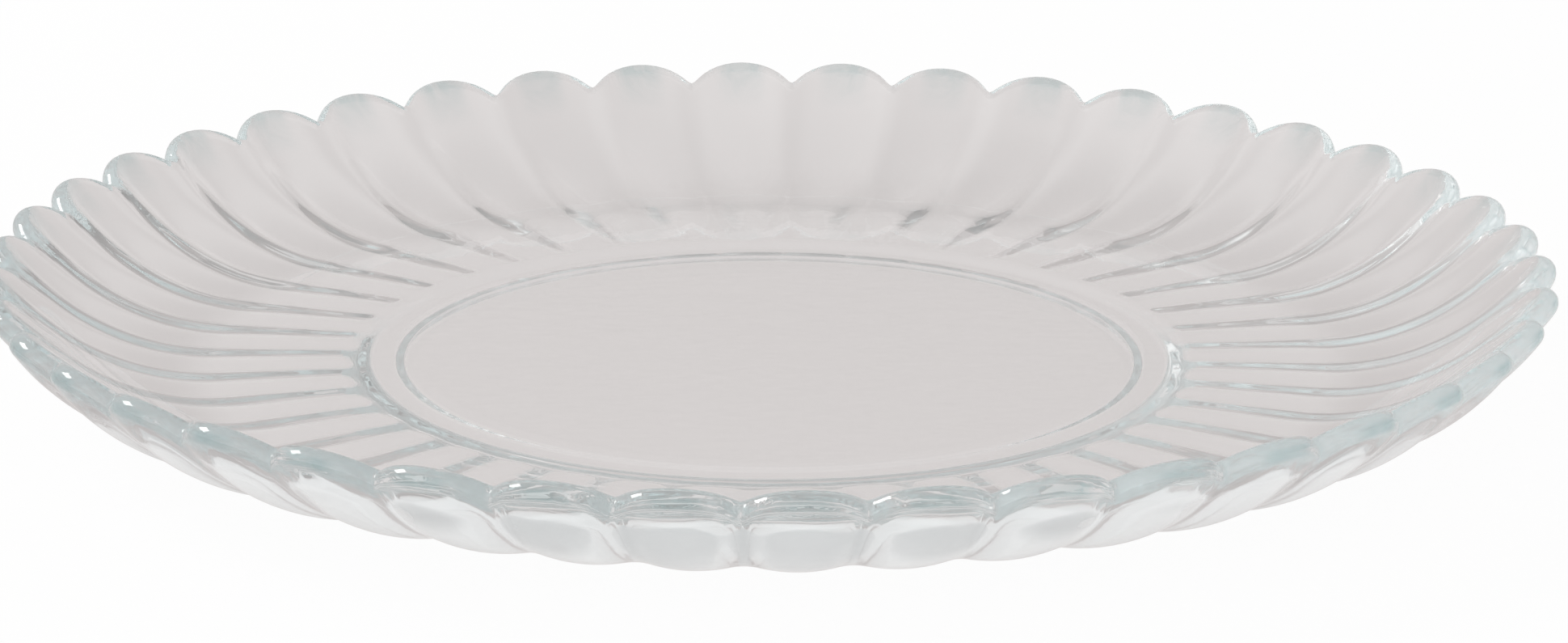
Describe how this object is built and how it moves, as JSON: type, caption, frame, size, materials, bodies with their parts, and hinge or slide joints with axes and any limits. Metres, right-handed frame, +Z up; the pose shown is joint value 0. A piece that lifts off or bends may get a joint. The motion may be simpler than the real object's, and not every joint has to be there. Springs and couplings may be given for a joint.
{
  "type": "scalloped dessert plate",
  "caption": "Clear pressed-glass dessert plate: smooth shallow dish, fluted underside and a scalloped rim of rounded lobes, standing on a low foot ring.",
  "frame": {"origin": "middle of the table plane that the foot ring stands on", "axes": "+Z up along the plate's axis, out of the dish; +X through the tip of one lobe of the rim"},
  "size_m": [0.1998, 0.1994, 0.0179],
  "materials": {
    "clear_glass": "clear fire-polished pressed soda-lime glass with a faint blue-green tint where it is thick"
  },
  "bodies": {
    "root": {"plate": "clear_glass"}
  },
  "joints": []
}
